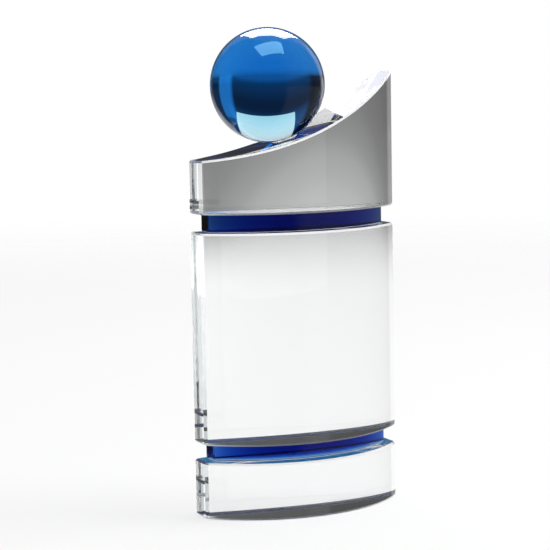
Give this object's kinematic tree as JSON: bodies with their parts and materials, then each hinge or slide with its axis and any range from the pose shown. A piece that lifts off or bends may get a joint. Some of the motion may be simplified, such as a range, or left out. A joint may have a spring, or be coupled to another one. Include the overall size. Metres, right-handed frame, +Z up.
{
  "type": "crystal award",
  "caption": "Free-standing clear crystal award: stacked bow-front blocks on blue glass spacers, topped by a rising ski-slope block with a blue crystal ball bonded on it.",
  "frame": {"origin": "middle of the footprint, on the face that the award stands on", "axes": "+Z up, along the award's height; +Y towards the flat back, so the bowed front faces -Y; +X towards the slope's high tip"},
  "size_m": [0.1148, 0.06, 0.2581],
  "materials": {
    "clear_crystal": "polished clear optical crystal",
    "spacer_blue_glass": "polished cobalt blue glass",
    "ball_blue_glass": "polished azure blue glass",
    "clear_adhesive": "cured clear ultraviolet adhesive"
  },
  "bodies": {
    "root": {"base_block": "clear_crystal", "base_bond": "clear_adhesive", "lower_spacer": "spacer_blue_glass", "panel_lower_bond": "clear_adhesive", "panel_block": "clear_crystal", "panel_upper_bond": "clear_adhesive", "upper_spacer": "spacer_blue_glass", "slope_bond": "clear_adhesive", "slope_block": "clear_crystal", "ball_bond": "clear_adhesive", "crystal_ball": "ball_blue_glass"}
  },
  "joints": []
}
